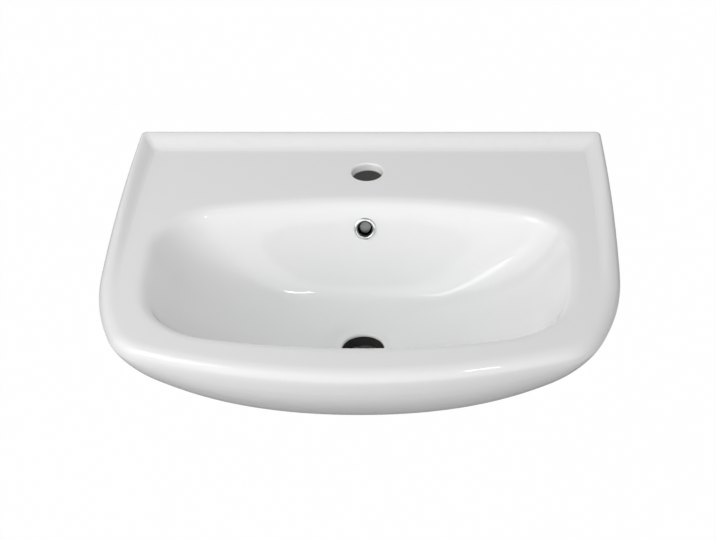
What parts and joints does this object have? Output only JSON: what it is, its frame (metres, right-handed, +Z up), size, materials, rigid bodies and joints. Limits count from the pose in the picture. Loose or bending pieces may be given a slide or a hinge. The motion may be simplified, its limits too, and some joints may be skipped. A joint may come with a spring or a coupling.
{
  "type": "wall hung basin",
  "caption": "Wall hung washbasin in white glazed ceramic: a D-shaped rim with a raised ridge at the wall, a deep rounded bowl, a tap hole, an overflow ring and a waste hole.",
  "frame": {"origin": "on the wall plane, midway between the two wall fixings, 80 mm below the flat deck", "axes": "+X along the wall to the right as seen by the user, +Y into the wall, +Z up"},
  "size_m": [0.5496, 0.5098, 0.1868],
  "materials": {
    "glazed_clay": "gloss white glaze",
    "chrome": "bright plated",
    "zinc_plated_steel": "bright zinc plated, fine turning marks",
    "grey_nylon": "moulded, satin",
    "white_nylon": "moulded, satin"
  },
  "bodies": {
    "root": {"basin": "glazed_clay", "overflow_ring": "chrome", "hanger_bolt_left": "zinc_plated_steel", "wall_plug_left": "grey_nylon", "collar_bush_left": "white_nylon", "washer_left": "zinc_plated_steel", "nut_left": "zinc_plated_steel", "hanger_bolt_right": "zinc_plated_steel", "wall_plug_right": "grey_nylon", "collar_bush_right": "white_nylon", "washer_right": "zinc_plated_steel", "nut_right": "zinc_plated_steel"}
  },
  "joints": []
}
